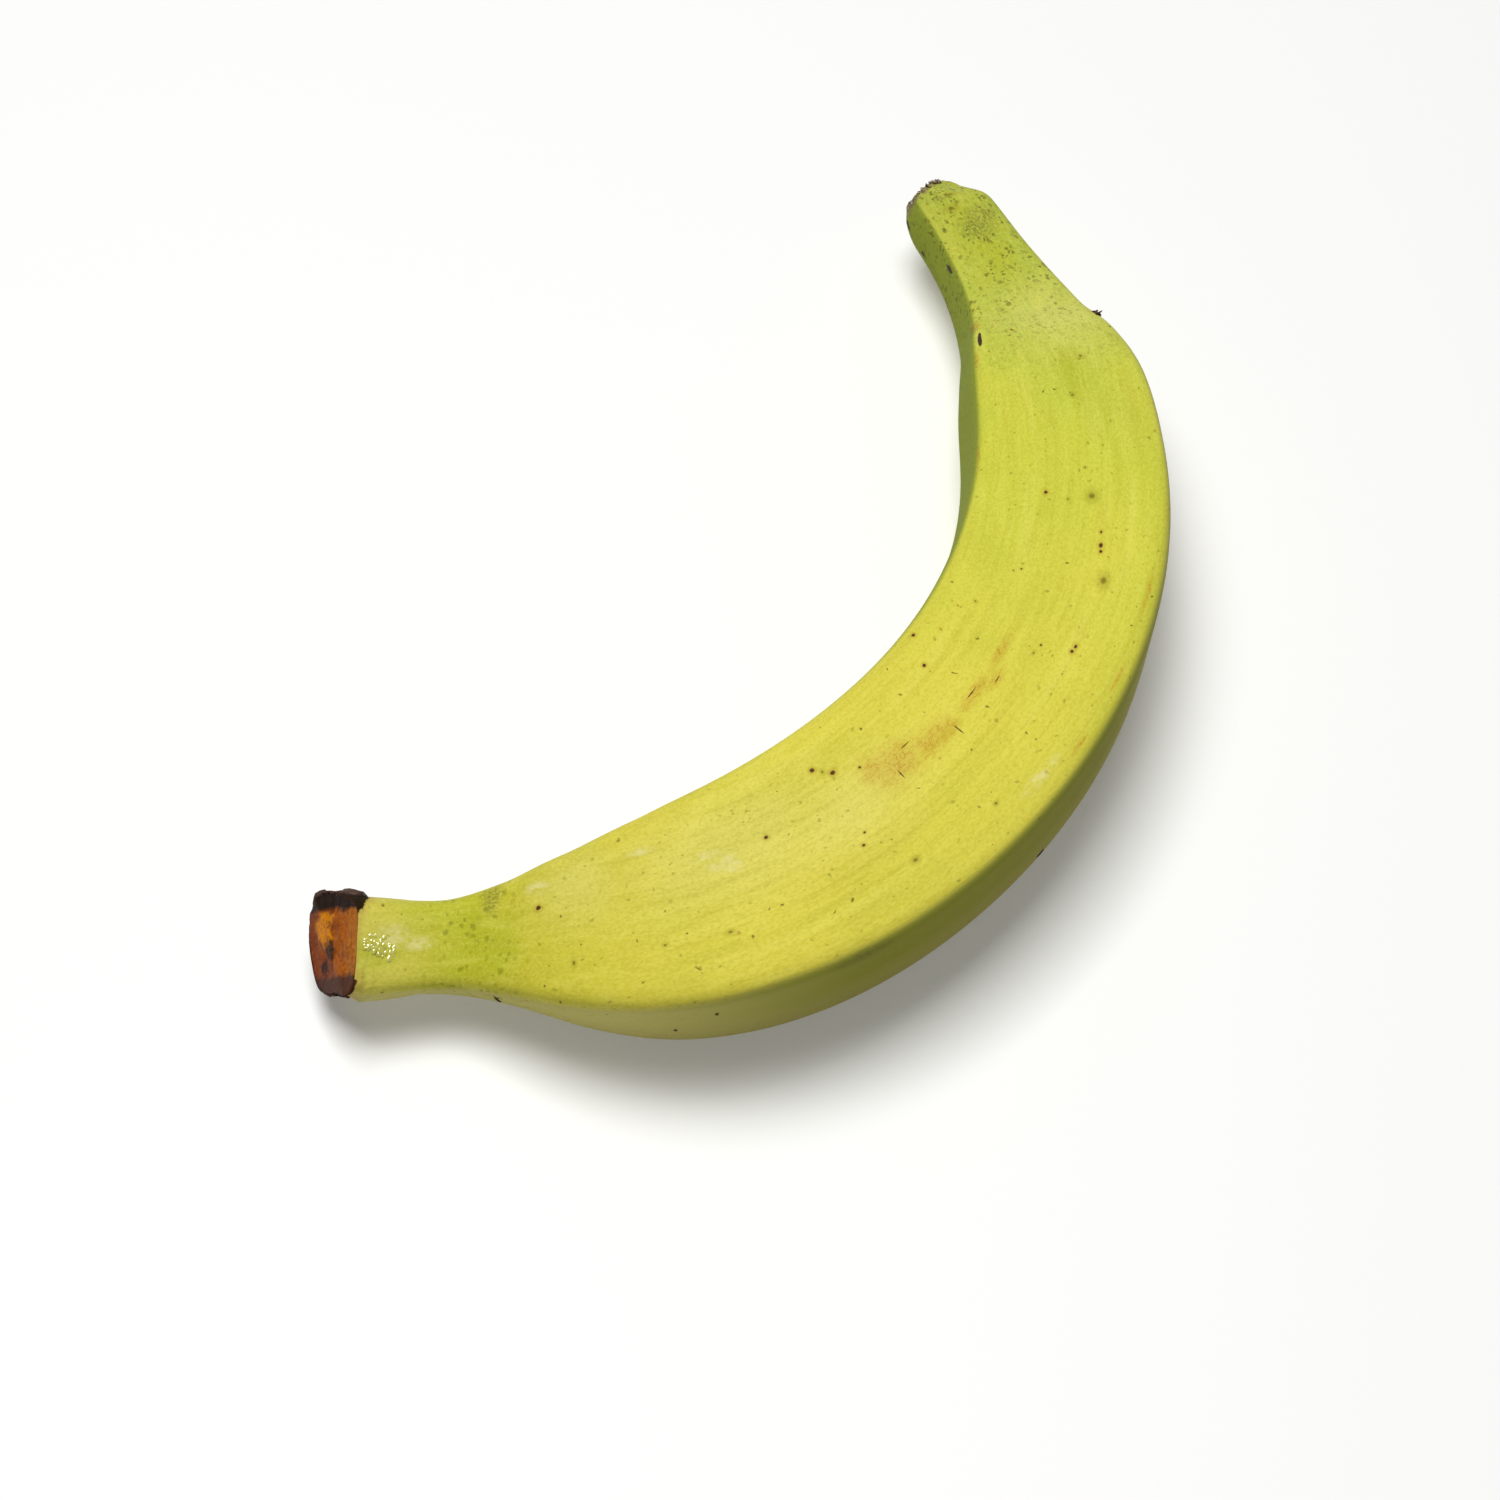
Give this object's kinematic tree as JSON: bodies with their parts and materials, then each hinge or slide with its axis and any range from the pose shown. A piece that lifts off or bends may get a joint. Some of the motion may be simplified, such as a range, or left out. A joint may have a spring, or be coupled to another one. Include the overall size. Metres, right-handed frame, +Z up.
{
  "type": "plantain",
  "caption": "Whole unpeeled plantain, bent and ridged, lying on its side, with a slanted knife cut at the stem and a blunt blossom stub.",
  "frame": {"origin": "on the surface that the fruit rests on, under the middle of its bounding box", "axes": "+X along the chord from the cut stem to the blossom end, +Y towards the inside of the bend, +Z up"},
  "size_m": [0.2256, 0.1108, 0.0418],
  "materials": {
    "peel": "waxy yellow-green peel with fine brown flecks; orange-brown cut stem with charred rims, grey-brown scab at the blossom end"
  },
  "bodies": {
    "root": {"plantain": "peel"}
  },
  "joints": []
}
